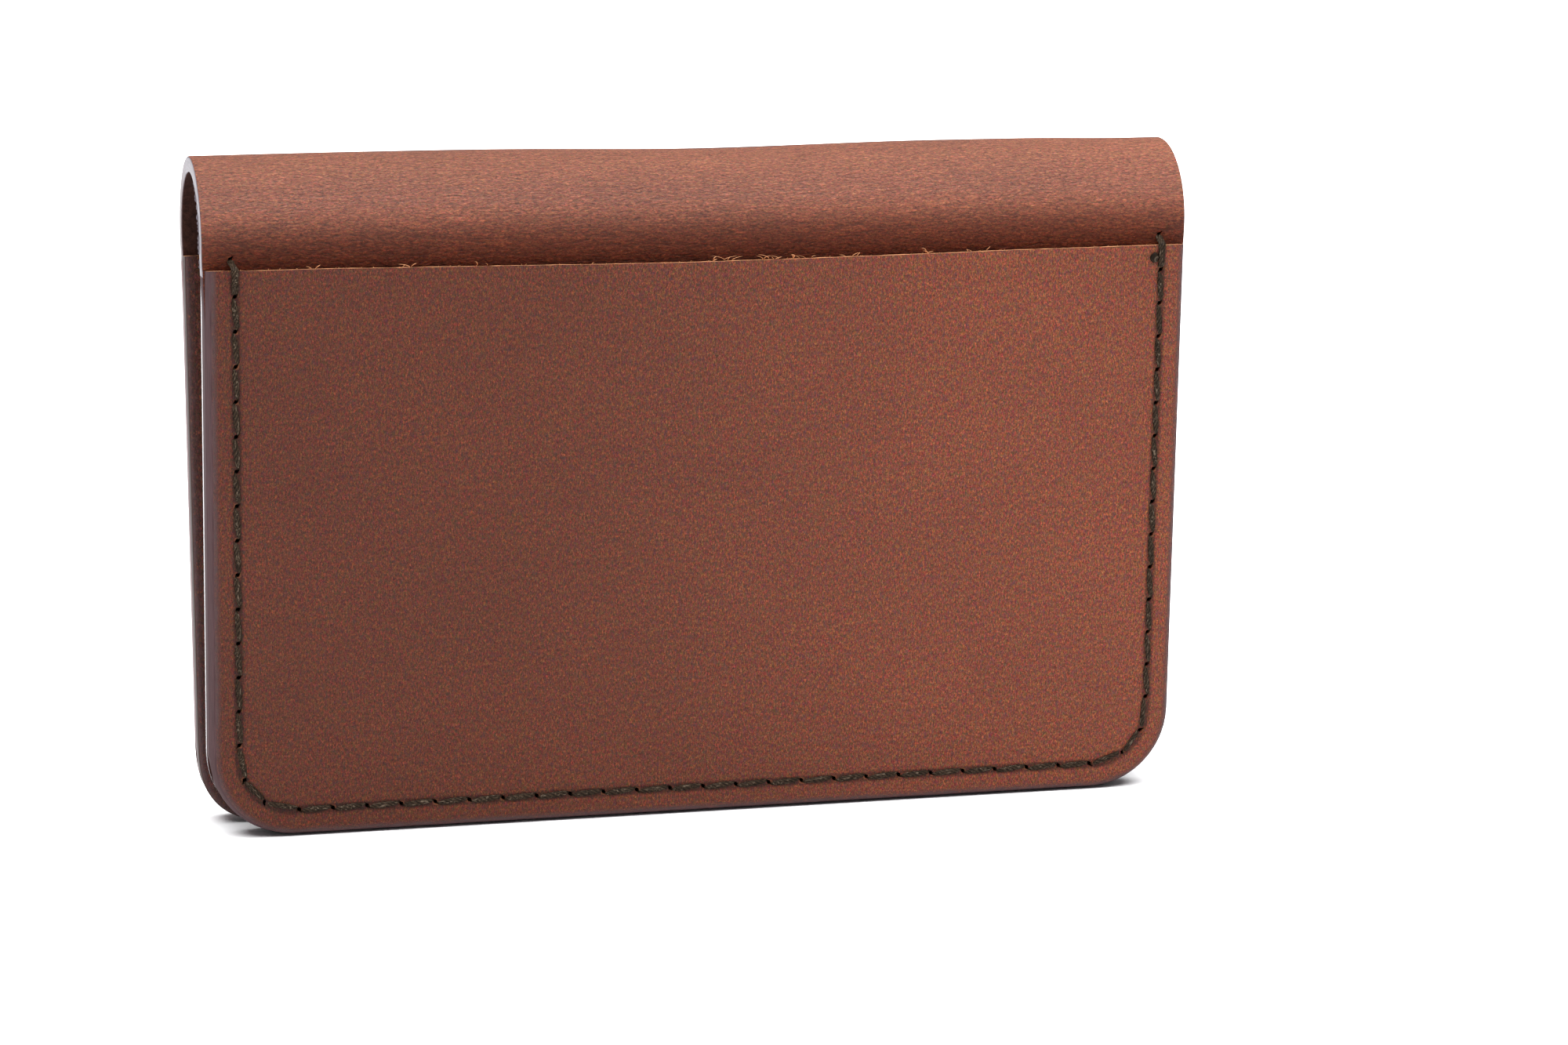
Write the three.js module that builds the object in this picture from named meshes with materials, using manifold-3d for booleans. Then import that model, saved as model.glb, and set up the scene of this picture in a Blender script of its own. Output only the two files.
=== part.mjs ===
// Bifold leather card holder, standing closed like a narrow tent on its two free edges, fold on top.
// Millimetres, +Z up, X along the fold, the front half towards -Y. Each half is a stack of three
// leather layers (outer pocket, cover, inner pocket) sewn by one U-shaped saddle-stitched seam.

import * as THREE from "three";
import { mergeVertices } from "three/addons/utils/BufferGeometryUtils.js";
import Module from "manifold-3d";

const wasm = await Module();
wasm.setup();

// Driving dimensions
const HOLDER_WIDTH = 102; // along the fold
const HOLDER_HEIGHT = 68.7; // free edges to the top of the fold
const COVER_THICKNESS = 1.6;
const OUTER_POCKET_THICKNESS = 1.4;
const INNER_POCKET_THICKNESS = 1.2;
const FOLD_RADIUS = 8; // outside of the cover where it folds
const FREE_EDGE_GAP = 2.6; // between the two inner pockets at the free edges
const OUTER_POCKET_DROP = 1.5; // outer pocket's mouth below the top of the flat panel
const INNER_POCKET_DROP = 1.5; // inner pocket's mouth below the same place
const CORNER_RADIUS = 8.5; // the two corners at the free edge
const STITCH_PITCH = 3.5; // nearest pitch that divides the seam evenly is used
const STITCH_INSET = 2.8; // seam line to the cut edge
const THREAD_DIAMETER = 0.8;

// Clearances and small features
const LAYER_GAP = 0.3; // between neighbouring leather layers
const FOLD_CLEARANCE = 0.5; // between the end of the bend and the flat panel
const THREAD_CLEARANCE = 0.05; // between the thread and the leather it lies on
const HOLE_CLEARANCE = 0.13; // around the thread in its slit
const END_STITCH_RISE = 0.9; // last hole of the seam above the outer pocket's mouth
const LEG_SPREAD = 0.06; // thread in a slit wider than its diameter along the slit
const LEG_SQUEEZE = 0.2; // and narrower than its diameter across the slit
const SLIT_SLANT = Math.PI / 4; // slit against the seam line
const STITCH_END_THICKNESS = 0.4; // thread thickness where it dives into a hole
const STITCH_END_LENGTH = 0.8; // length over which it dives
const STITCH_SETBACK = 0.1; // end of a stitch short of the middle of its hole, where the leg joins it
const FOLD_SEGMENTS = 32;
const CORNER_SEGMENTS = 8;

// The fold's centre and the lean of each half: the half is tangent to the bend at the top, and its
// layers end half a gap from the middle plane at the bottom.
const foldCentreHeight = HOLDER_HEIGHT - FOLD_RADIUS;
const coverFootDepth = FREE_EDGE_GAP / 2 + INNER_POCKET_THICKNESS + LAYER_GAP + COVER_THICKNESS;
const lean =
  Math.asin(FOLD_RADIUS / Math.hypot(coverFootDepth, foldCentreHeight)) -
  Math.atan2(coverFootDepth, foldCentreHeight);
const panelTop = foldCentreHeight - FOLD_RADIUS * Math.sin(lean) - FOLD_CLEARANCE;
const outerPocketHeight = panelTop - OUTER_POCKET_DROP;
const innerPocketHeight = panelTop - INNER_POCKET_DROP;

// Depths in a stack, outwards from the inner face of the inner pocket
const coverDepth = INNER_POCKET_THICKNESS + LAYER_GAP;
const outerPocketDepth = coverDepth + COVER_THICKNESS + LAYER_GAP;
const stackDepth = outerPocketDepth + OUTER_POCKET_THICKNESS;

const leather = {
  outside: new THREE.MeshStandardMaterial({ color: 0x86503a, roughness: 0.5, metalness: 0 }),
  pocket: new THREE.MeshStandardMaterial({ color: 0x7c4834, roughness: 0.55, metalness: 0 }),
  inside: new THREE.MeshStandardMaterial({ color: 0x6e4030, roughness: 0.65, metalness: 0 }),
};
const waxedThread = new THREE.MeshStandardMaterial({ color: 0x4b4132, roughness: 0.6, metalness: 0 });

// The seam line: down one side, round the corner, along the free edge and up the other side.
function seamLine() {
  const side = HOLDER_WIDTH / 2 - STITCH_INSET;
  const turn = CORNER_RADIUS - STITCH_INSET;
  const top = outerPocketHeight + END_STITCH_RISE;
  const line = new THREE.CurvePath();
  const point = (x, height) => new THREE.Vector2(x, height);
  line.add(new THREE.LineCurve(point(-side, top), point(-side, CORNER_RADIUS)));
  line.add(new THREE.EllipseCurve(turn - side, CORNER_RADIUS, turn, turn, Math.PI, 1.5 * Math.PI));
  line.add(new THREE.LineCurve(point(turn - side, STITCH_INSET), point(side - turn, STITCH_INSET)));
  line.add(new THREE.EllipseCurve(side - turn, CORNER_RADIUS, turn, turn, 1.5 * Math.PI, 2 * Math.PI));
  line.add(new THREE.LineCurve(point(side, CORNER_RADIUS), point(side, top)));
  return line;
}

// The holes, evenly spaced, each with the direction of the seam there.
function seamHoles() {
  const line = seamLine();
  const stitches = Math.round(line.getLength() / STITCH_PITCH);
  return Array.from({ length: stitches + 1 }, (_, i) => {
    const at = line.getPointAt(i / stitches);
    const along = line.getTangentAt(i / stitches);
    return { x: at.x, height: at.y, direction: Math.atan2(along.y, along.x) };
  });
}

const holes = seamHoles();

// A slanted slit at a hole, as a diamond grown by the clearance on every side.
function slit(hole, clearance, Outline) {
  const along = (THREAD_DIAMETER + LEG_SPREAD) / 2 + clearance;
  const across = (THREAD_DIAMETER - LEG_SQUEEZE) / 2 + clearance;
  const corners = [along, across, along, across].map((distance, quarter) => {
    const angle = hole.direction + SLIT_SLANT + (quarter * Math.PI) / 2;
    return new THREE.Vector2(
      hole.x + distance * Math.cos(angle),
      hole.height + distance * Math.sin(angle),
    );
  });
  return new Outline(corners);
}

// One leather layer: square corners on top, round ones at the free edge, and the seam's slits.
function layerShape(height) {
  const half = HOLDER_WIDTH / 2;
  const shape = new THREE.Shape();
  shape.moveTo(-half, height);
  shape.lineTo(-half, CORNER_RADIUS);
  shape.absarc(CORNER_RADIUS - half, CORNER_RADIUS, CORNER_RADIUS, Math.PI, 1.5 * Math.PI);
  shape.absarc(half - CORNER_RADIUS, CORNER_RADIUS, CORNER_RADIUS, 1.5 * Math.PI, 2 * Math.PI);
  shape.lineTo(half, height);
  const sewn = holes.filter((hole) => hole.height < height);
  shape.holes = sewn.map((hole) => slit(hole, HOLE_CLEARANCE, THREE.Path));
  return shape;
}

// Flat work is made with x across, y up and z outwards through the stack. This leans it over and
// stands it in front of the middle plane, with its free edge still level.
function stand(geometry) {
  const slope = Math.tan(lean);
  const placed = new THREE.Matrix4().set(
    1, 0, 0, 0,
    0, -slope, -1, -FREE_EDGE_GAP / 2,
    0, 1, 0, 0,
    0, 0, 0, 1,
  );
  return geometry.applyMatrix4(placed);
}

function layer(height, depth, thickness) {
  const settings = { depth: thickness, bevelEnabled: false, curveSegments: CORNER_SEGMENTS };
  const geometry = new THREE.ExtrudeGeometry(layerShape(height), settings);
  return stand(geometry.translate(0, 0, depth));
}

function toSolid(geometry) {
  const bare = geometry.clone();
  bare.deleteAttribute("normal");
  bare.deleteAttribute("uv");
  const merged = mergeVertices(bare, 1e-4);
  return new wasm.Manifold(
    new wasm.Mesh({
      numProp: 3,
      vertProperties: merged.attributes.position.array,
      triVerts: new Uint32Array(merged.index.array),
    }),
  );
}

function toGeometry(solid) {
  const mesh = solid.getMesh();
  const geometry = new THREE.BufferGeometry();
  geometry.setAttribute("position", new THREE.BufferAttribute(mesh.vertProperties, 3));
  geometry.setIndex(new THREE.BufferAttribute(mesh.triVerts, 1));
  geometry.computeVertexNormals();
  return geometry;
}

// A stitch from one hole to the next: a low bridge on the leather's face, thinner at both ends.
// Its face is at the given depth, and it stands away from that face on the given side.
function stitch(from, to, face, side) {
  const start = STITCH_SETBACK;
  const end = Math.hypot(to.x - from.x, to.height - from.height) - STITCH_SETBACK;
  const low = THREAD_CLEARANCE;
  const high = low + THREAD_DIAMETER;
  const bridge = new THREE.Shape();
  bridge.moveTo(start, low);
  bridge.lineTo(end, low);
  bridge.lineTo(end, low + STITCH_END_THICKNESS);
  bridge.lineTo(end - STITCH_END_LENGTH, high);
  bridge.lineTo(start + STITCH_END_LENGTH, high);
  bridge.lineTo(start, low + STITCH_END_THICKNESS);
  const geometry = new THREE.ExtrudeGeometry(bridge, { depth: THREAD_DIAMETER, bevelEnabled: false });
  geometry.translate(0, 0, -THREAD_DIAMETER / 2);
  geometry.rotateX((side * Math.PI) / 2);
  geometry.rotateZ(Math.atan2(to.height - from.height, to.x - from.x));
  return geometry.translate(from.x, from.height, face);
}

// The thread in a hole, from the stitches on one face to the stitches on the other.
function threadLeg(hole, innerFace, outerFace) {
  const overlap = THREAD_CLEARANCE + STITCH_END_THICKNESS / 2;
  const depth = outerFace - innerFace + 2 * overlap;
  const settings = { depth, bevelEnabled: false };
  const geometry = new THREE.ExtrudeGeometry(slit(hole, 0, THREE.Shape), settings);
  return geometry.translate(0, 0, innerFace - overlap);
}

// The whole thread of one seam as one solid. A stitch above the inner pocket's mouth lies on the
// cover, and the end stitches bridge the mouths of both pockets.
function seamThread() {
  const innerFaceOf = (i) => {
    const lowest = Math.min(holes[i].height, holes[i + 1].height);
    return lowest > innerPocketHeight ? coverDepth : 0;
  };
  const pieces = [];
  holes.forEach((hole, i) => {
    const beside = [i - 1, i].filter((k) => k >= 0 && k < holes.length - 1);
    const innerFace = Math.min(...beside.map(innerFaceOf));
    pieces.push(threadLeg(hole, innerFace, stackDepth));
    if (i === holes.length - 1) return;
    pieces.push(stitch(hole, holes[i + 1], stackDepth, 1));
    pieces.push(stitch(hole, holes[i + 1], innerFaceOf(i), -1));
  });
  const joined = wasm.Manifold.union(pieces.map(toSolid));
  return stand(toGeometry(joined));
}

function named(name, geometry, material) {
  const mesh = new THREE.Mesh(geometry, material);
  mesh.name = name;
  return mesh;
}

// The round bend of the cover between its two flat panels.
function coverSpine() {
  const shape = new THREE.Shape();
  shape.absarc(0, 0, FOLD_RADIUS, -lean, Math.PI + lean);
  shape.absarc(0, 0, FOLD_RADIUS - COVER_THICKNESS, Math.PI + lean, -lean, true);
  const settings = { depth: HOLDER_WIDTH, bevelEnabled: false, curveSegments: FOLD_SEGMENTS };
  const geometry = new THREE.ExtrudeGeometry(shape, settings);
  geometry.translate(0, 0, -HOLDER_WIDTH / 2);
  geometry.rotateX(Math.PI / 2);
  geometry.rotateZ(Math.PI / 2);
  return geometry.translate(0, 0, foldCentreHeight);
}

// One half of the holder, built as the front half.
function half(side) {
  const group = new THREE.Group();
  const cover = layer(panelTop, coverDepth, COVER_THICKNESS);
  const outer = layer(outerPocketHeight, outerPocketDepth, OUTER_POCKET_THICKNESS);
  const inner = layer(innerPocketHeight, 0, INNER_POCKET_THICKNESS);
  group.add(named(`cover_${side}_panel`, cover, leather.outside));
  group.add(named(`${side}_outer_pocket`, outer, leather.pocket));
  group.add(named(`${side}_inner_pocket`, inner, leather.inside));
  group.add(named(`${side}_stitch_thread`, seamThread(), waxedThread));
  return group;
}

const frontHalf = half("front");
const rearHalf = half("rear");
rearHalf.rotation.z = Math.PI;

const cardHolder = new THREE.Group();
cardHolder.add(named("cover_spine", coverSpine(), leather.outside), frontHalf, rearHalf);

export default cardHolder;
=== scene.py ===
import math
import random

import bmesh
import bpy
from mathutils import Matrix, Vector, noise
from mathutils.kdtree import KDTree


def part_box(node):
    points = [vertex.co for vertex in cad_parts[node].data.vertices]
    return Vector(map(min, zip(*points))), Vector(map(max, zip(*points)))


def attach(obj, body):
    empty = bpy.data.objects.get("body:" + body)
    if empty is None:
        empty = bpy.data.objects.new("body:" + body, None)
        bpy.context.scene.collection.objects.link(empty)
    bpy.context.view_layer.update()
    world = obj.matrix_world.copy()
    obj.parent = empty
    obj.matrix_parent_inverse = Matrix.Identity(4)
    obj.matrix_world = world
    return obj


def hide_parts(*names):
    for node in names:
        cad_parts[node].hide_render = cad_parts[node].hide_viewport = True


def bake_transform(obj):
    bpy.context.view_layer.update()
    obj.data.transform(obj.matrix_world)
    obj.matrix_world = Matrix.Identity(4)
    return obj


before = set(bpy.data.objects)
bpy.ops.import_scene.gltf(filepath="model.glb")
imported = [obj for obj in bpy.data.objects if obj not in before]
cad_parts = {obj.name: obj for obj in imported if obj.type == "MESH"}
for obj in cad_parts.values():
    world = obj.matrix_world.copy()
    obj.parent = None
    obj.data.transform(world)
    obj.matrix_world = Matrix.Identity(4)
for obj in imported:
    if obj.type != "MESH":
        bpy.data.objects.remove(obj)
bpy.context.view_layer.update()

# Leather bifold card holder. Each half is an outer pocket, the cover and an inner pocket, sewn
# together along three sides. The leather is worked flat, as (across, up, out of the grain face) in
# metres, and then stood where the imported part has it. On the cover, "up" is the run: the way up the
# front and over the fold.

random.seed(7)
MM = 0.001

# ------------------------------------------------------------------ sizes from the frame


def corners_at(node, level):
    """The CAD node's corners whose height is within a hair of the level."""
    return [v.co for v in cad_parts[node].data.vertices if abs(v.co.z - level) < 0.02 * MM]


def depths_at(node, level):
    """How far from the middle plane the node starts and ends at that height."""
    depths = [abs(co.y) for co in corners_at(node, level)]
    return min(depths), max(depths)


spine_low, spine_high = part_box("cover_spine")
WIDTH = spine_high.x - spine_low.x
HALF_WIDTH = WIDTH / 2
FOLD_RADIUS = (spine_high.y - spine_low.y) / 2
FOLD_TOP = spine_high.z
FOLD_CENTRE = FOLD_TOP - FOLD_RADIUS
PANEL_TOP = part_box("cover_front_panel")[1].z
OUTER_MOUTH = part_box("front_outer_pocket")[1].z
INNER_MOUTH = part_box("front_inner_pocket")[1].z
INNER_FACE = depths_at("front_inner_pocket", 0)[0]
COVER_BACK, COVER_FACE = depths_at("cover_front_panel", 0)
OUTER_FACE = depths_at("front_outer_pocket", 0)[1]
SLOPE = (depths_at("cover_front_panel", PANEL_TOP)[1] - COVER_FACE) / PANEL_TOP
LEAN = math.atan(SLOPE)
TANGENT_HEIGHT = FOLD_CENTRE - FOLD_RADIUS * math.sin(LEAN)
CORNER_RADIUS = HALF_WIDTH - max(co.x for co in corners_at("cover_front_panel", 0))

# ------------------------------------------------------------------ leather and seam values

THREAD = 0.8 * MM
SEAM_INSET = HALF_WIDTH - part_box("front_stitch_thread")[1].x + THREAD / 2
STITCH_PITCH = 3.5 * MM
END_STITCH_RISE = 0.9 * MM  # the seam's last hole above the outer pocket's mouth
COVER_THICKNESS = COVER_FACE - COVER_BACK
GLUE_LINE = 0.02 * MM
SLIT_HALF_LENGTH = 0.50 * MM
SLIT_HALF_WIDTH = 0.22 * MM
SLIT_DEPTH = 0.9 * MM
SLIT_RIM = 0.06 * MM  # leather round the slit that the awl draws in
DRAWN_IN = 0.07 * MM
BURR_SHARE = 0.22  # share of the slits' corners that carry a pale burr
CELL = 0.4 * MM  # half of the grid cell that a slit is cut in
OUTER_ARRIS = 0.95 * MM  # how far each sheet's edges are rounded
INNER_ARRIS = 0.70 * MM
COVER_ARRIS_LEFT = 0.30 * MM
COVER_ARRIS_RIGHT = 1.15 * MM
FLESH_ARRIS = 0.12 * MM
OUTER_BOW = 0.30 * MM  # how far each pocket's mouth stands out in the middle
INNER_BOW = 0.15 * MM
OUTER_SEED = {"front": 11.0, "rear": 17.0}
INNER_SEED = {"front": 23.0, "rear": 29.0}
COVER_SEED = {"front": 2.0, "rear": 5.0}


def smooth(t):
    t = min(1.0, max(0.0, t))
    return t * t * (3 - 2 * t)


def bell(t):
    return math.exp(-t * t)


# ------------------------------------------------------------------ the seam line


SEAM_DROP = OUTER_MOUTH + END_STITCH_RISE - CORNER_RADIUS  # the straight part of each side


def seam_point(distance):
    """A point on the seam and its direction, counted from the top of the left side."""
    side = HALF_WIDTH - SEAM_INSET
    turn = CORNER_RADIUS - SEAM_INSET
    arc = turn * math.pi / 2
    base = 2 * (side - turn)

    def on_corner(middle, angle):
        place = (middle + turn * math.cos(angle), CORNER_RADIUS + turn * math.sin(angle))
        return Vector(place), angle + math.pi / 2

    if distance <= SEAM_DROP:
        return Vector((-side, CORNER_RADIUS + SEAM_DROP - distance)), -math.pi / 2
    distance -= SEAM_DROP
    if distance <= arc:
        return on_corner(turn - side, math.pi + distance / turn)
    distance -= arc
    if distance <= base:
        return Vector((turn - side + distance, SEAM_INSET)), 0.0
    distance -= base
    if distance <= arc:
        return on_corner(side - turn, 1.5 * math.pi + distance / turn)
    return Vector((side, CORNER_RADIUS + distance - arc)), math.pi / 2


def seam_holes():
    """Every hole of a seam and the seam's direction there, at the pitch that divides it evenly."""
    length = 2 * SEAM_DROP + 2 * (HALF_WIDTH - CORNER_RADIUS) + math.pi * (CORNER_RADIUS - SEAM_INSET)
    count = round(length / STITCH_PITCH)
    return [seam_point(length * i / count) for i in range(count + 1)]


HOLES = seam_holes()

# ------------------------------------------------------------------ where flat work stands


def half_turn(point, side):
    """The rear half is the front half turned half way round."""
    return point if side == "front" else Vector((-point.x, -point.y, point.z))


REAR_CORNER = 0.10  # share by which the rear half's corners were cut fuller
REAR_PROUD = 0.18 * MM  # the sewn part of the rear half stands this much further out at the sides


def hand_cut(x, up, side, proud):
    """No two corners cut by hand are alike: the rear half's are a little squarer."""
    if side == "front":
        return x, up
    x += math.copysign(proud * (abs(x) / HALF_WIDTH) ** 8, x)
    past_side = abs(x) - (HALF_WIDTH - CORNER_RADIUS)
    past_foot = CORNER_RADIUS - up
    if past_side <= 0 or past_foot <= 0:
        return x, up
    reach = math.hypot(past_side, past_foot)
    fuller = REAR_CORNER * (2 * past_side * past_foot / reach**2) ** 2 * (reach / CORNER_RADIUS) ** 2
    return x + math.copysign(past_side * fuller, x), up - past_foot * fuller


def stand_layer(side, depth, facing):
    """Places a pocket: depth is that of its grain face, facing is 1 outwards, -1 towards the gap."""

    def placed(x, up, out):
        off = depth + facing * out
        x, up = crowned(x, up, off)
        x, up = hand_cut(x, up, side, REAR_PROUD)
        return half_turn(Vector((x, -(off + SLOPE * up), up)), side)

    return placed


def fold_profile(run):
    """The cover's grain face, from the free edge (run 0) up and over to the top of the fold."""
    straight = TANGENT_HEIGHT / math.cos(LEAN)
    if run <= straight:
        height = run * math.cos(LEAN)
        turned = LEAN * smooth((height - 0.8 * TANGENT_HEIGHT) / (0.2 * TANGENT_HEIGHT))
        point = Vector((0, -(COVER_FACE + SLOPE * height), height))
        return point, Vector((0, -math.cos(turned), -math.sin(turned)))
    angle = (run - straight) / FOLD_RADIUS - LEAN
    out = Vector((0, -math.cos(angle), math.sin(angle)))
    return Vector((0, 0, FOLD_CENTRE)) + FOLD_RADIUS * out, out


FOLD_RUN = TANGENT_HEIGHT / math.cos(LEAN)
APEX_RUN = FOLD_RUN + FOLD_RADIUS * (math.pi / 2 + LEAN)


def fold_sag(x):
    """The top of the fold dips in the middle, is a little full beside that and drops at the right."""
    dip = 0.33 * bell((x - 2 * MM) / (14 * MM)) - 0.06 * bell((x + 30 * MM) / (16 * MM))
    return MM * (dip + 0.20 * smooth((x - 36 * MM) / (12 * MM)))


EDGE_FLARE = 0.25 * MM


def stand_cover(side):
    """Places a half of the cover: up its panel and over the fold to the top."""

    def placed(x, run, out):
        if run < OUTER_MOUTH:
            x, run = crowned(x, run, COVER_FACE + out)
            x, run = hand_cut(x, run, side, REAR_PROUD * smooth((OUTER_MOUTH - run) / (2 * MM)))
        point, normal = fold_profile(run)
        up = smooth((run - FOLD_RUN + 3 * MM) / (APEX_RUN - FOLD_RUN))
        point = point + normal * out - Vector((0, 0, up * fold_sag(x if side == "front" else -x)))
        flare = EDGE_FLARE * smooth((run - 0.86 * FOLD_RUN) / (0.14 * FOLD_RUN)) * x / HALF_WIDTH
        return half_turn(Vector((x + flare, point.y, point.z)), side)

    return placed


# ------------------------------------------------------------------ how the leather lies


def inset_of(x, up):
    """Distance to the nearest sewn edge."""
    past_side = abs(x) - (HALF_WIDTH - CORNER_RADIUS)
    past_foot = CORNER_RADIUS - up
    if past_side > 0 and past_foot > 0:
        return CORNER_RADIUS - math.hypot(past_side, past_foot)
    return min(HALF_WIDTH - abs(x), up)


WAVE = 0.07 * MM
COVER_WAVE = 0.05 * MM
GROOVE_DEPTH = 0.17 * MM  # the groove pressed for the stitches
GROOVE_WIDTH = 0.55 * MM


def lie_pocket(height, seed, bow):
    """How far the grain face of a pocket lies off its flat plane."""

    def off(x, up, inset):
        across = 1 - (x / HALF_WIDTH) ** 2
        lift = bow * max(0, across) * smooth(up / height) ** 2
        wave = WAVE * noise.noise(Vector((x / (19 * MM), up / (17 * MM), seed)))
        groove = -GROOVE_DEPTH * bell((inset - SEAM_INSET) / GROOVE_WIDTH)
        return lift + wave * smooth(inset / (6 * MM)) + groove

    return off


def lie_cover(seed):
    """How far the cover's grain face lies off its panel and its fold."""

    def off(x, run, inset):
        return COVER_WAVE * noise.noise(Vector((x / (16 * MM), run / (6 * MM), seed)))

    return off


CROWN = 0.45 * MM  # how far the stack's edge falls away at its outer arris
CROWN_REACH = 1.2 * MM  # how far in from the edge that is felt


def crowned(x, up, depth):
    """The edge is rubbed down as one: from the stack's middle outwards it falls away."""
    middle = (INNER_FACE + OUTER_FACE) / 2
    u = max(0, (depth - middle) / (OUTER_FACE - middle))
    back = CROWN * u * u * (1 - smooth(inset_of(x, up) / CROWN_REACH))
    past_side = max(0.0, abs(x) - (HALF_WIDTH - CORNER_RADIUS))
    past_foot = max(0.0, CORNER_RADIUS - up)
    if past_side == 0 and past_foot == 0:
        return x, up
    reach = math.hypot(past_side, past_foot)
    return x - math.copysign(back * past_side / reach, x), up + back * past_foot / reach


# ------------------------------------------------------------------ sheets of leather

# The order of each sheet's materials. A face's "finish" is 1 more than the number of its material,
# or 0 where the material goes by the way the face looks.
GRAIN, FLESH, BURNISHED, CUT = range(4)
GRAIN_TILT = 0.50  # a face that looks out at least this much is grain side
FLESH_TILT = -0.93


def lines(strong, weak, gap=0.24 * MM):
    """Grid lines: all the strong ones, and the weak ones that are clear of them."""
    strong = sorted(strong)
    kept = [w for w in weak if all(abs(w - s) > gap for s in strong)]
    merged = []
    for value in sorted(strong + kept):
        if not merged or value - merged[-1] > 0.02 * MM:
            merged.append(value)
    return merged


# how far in from an edge the grid lines lie
BORDER = [MM * v for v in (0, 0.45, 0.9, 1.3, 1.7, 2.05, 3.55, 3.9, 4.3, 4.8, 5.5, 6.4, 7.4, 8.5)]
BORDER += [SEAM_INSET - CELL, SEAM_INSET + CELL]


def hole_lines(places):
    """Cell edges at each hole and lines between the holes."""
    strong, weak = [], []
    for place in places:
        strong += [place - CELL, place + CELL]
        weak += [place + k * MM for k in (-1.75, -1.2, -0.75, 0.75, 1.2)]
    return strong, weak


def across_lines(step=None):
    """Lines across a sheet, a step apart, or at the holes of the seam's foot if there is no step."""
    strong = [b - HALF_WIDTH for b in BORDER] + [HALF_WIDTH - b for b in BORDER]
    if step:
        start = CORNER_RADIUS - HALF_WIDTH
        between = 2 * (HALF_WIDTH - CORNER_RADIUS)
        count = round(between / step)
        weak = [start + between * i / count for i in range(count + 1)]
    else:
        foot = [p.x for p, d in HOLES if abs(p.x) < HALF_WIDTH - CORNER_RADIUS]
        cell_edges, weak = hole_lines(foot)
        strong = cell_edges + strong
    return [x for x in lines(strong, weak) if abs(x) <= HALF_WIDTH + 1e-9]


def up_lines(top):
    """Lines up a pocket, at the holes of its left side."""
    strong, weak = hole_lines([p.y for p, d in HOLES if p.x < 0 and p.y > CORNER_RADIUS])
    strong = [s for s in strong if CORNER_RADIUS < s < top - 0.1 * MM]
    weak = [w for w in weak if CORNER_RADIUS < w < top - 0.3 * MM]
    weak += [top - 0.35 * MM]
    return lines(strong + BORDER + [top], weak)


def lay_grid(bm, across, up):
    """A grid with the given lines, its two free corners rounded."""
    bmesh.ops.create_grid(bm, x_segments=len(across) - 1, y_segments=len(up) - 1, size=0.5)
    for v in bm.verts:
        x = across[round((v.co.x + 0.5) * (len(across) - 1))]
        y = up[round((v.co.y + 0.5) * (len(up) - 1))]
        px = max(0.0, abs(x) - (HALF_WIDTH - CORNER_RADIUS))
        py = max(0.0, CORNER_RADIUS - y)
        if px > 0 and py > 0:
            shrink = max(px, py) / math.hypot(px, py)
            x = math.copysign(HALF_WIDTH - CORNER_RADIUS + px * shrink, x)
            y = CORNER_RADIUS - py * shrink
        v.co = (x, y, 0)


def thicken(bm, thickness):
    """Gives the grid its wall, grain face at 0 and flesh face at -thickness."""
    bmesh.ops.solidify(bm, geom=bm.faces[:], thickness=thickness)
    low = min(v.co.z for v in bm.verts)
    high = max(v.co.z for v in bm.verts)
    for v in bm.verts:
        v.co.z = 0.0 if v.co.z > (low + high) / 2 else -thickness


def round_arris(bm, level, radius, skip=None):
    """Rounds the edges where the rim meets the face at that level."""
    rim = []
    for e in bm.edges:
        if all(abs(v.co.z - level) < 1e-7 for v in e.verts):
            walls = [f for f in e.link_faces if abs(f.normal.z) < 0.5]
            if len(walls) == 1 and not (skip and skip(e)):
                rim.append(e)
    bmesh.ops.bevel(
        bm, geom=rim, offset=radius, offset_type="OFFSET", segments=5, profile=0.5,
        affect="EDGES", material=-1, clamp_overlap=True,
    )


def cut_slits(bm, holes, level, burr_and_shade_layer):
    """Cuts a slanted slit at each hole, in the grid cell nearest to it, and says where it is."""
    sign = 1 if level == 0 else -1
    finish = bm.faces.layers.int["finish"]
    cells = [f for f in bm.faces if f.normal.z * sign > 0.99 and len(f.verts) == 4]
    centres = [f.calc_center_median() for f in cells]
    tree = KDTree(len(cells))
    for i, centre in enumerate(centres):
        tree.insert(centre, i)
    tree.balance()
    found = []
    for spot, direction in holes:
        k = tree.find(Vector((spot.x, spot.y, level)))[1]
        cell, where = cells[k], centres[k].xy.copy()
        cell[finish] = 1 + (GRAIN if level == 0 else FLESH)
        bmesh.ops.inset_individual(bm, faces=[cell], thickness=SLIT_RIM)
        turned = sorted(cell.verts, key=lambda v: (
            math.atan2(v.co.y - where.y, v.co.x - where.x) - direction + math.pi) % (2 * math.pi))
        for quarter, v in enumerate(turned):
            aim = direction + math.pi / 4 + (quarter - 2) * math.pi / 2
            reach = SLIT_HALF_LENGTH if quarter % 2 else SLIT_HALF_WIDTH
            v.co.x = where.x + reach * math.cos(aim)
            v.co.y = where.y + reach * math.sin(aim)
            v.co.z = level - sign * DRAWN_IN
            v[burr_and_shade_layer] = 1.0 if random.random() < BURR_SHARE else 0.25
        floor = bmesh.ops.extrude_discrete_faces(bm, faces=[cell])["faces"][0]
        for v in floor.verts:
            v.co.z = level - sign * SLIT_DEPTH
            # the slit's floor is marked for painted shade
            v[burr_and_shade_layer] = -1.0
        found.append((where, direction))
    return found


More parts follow.
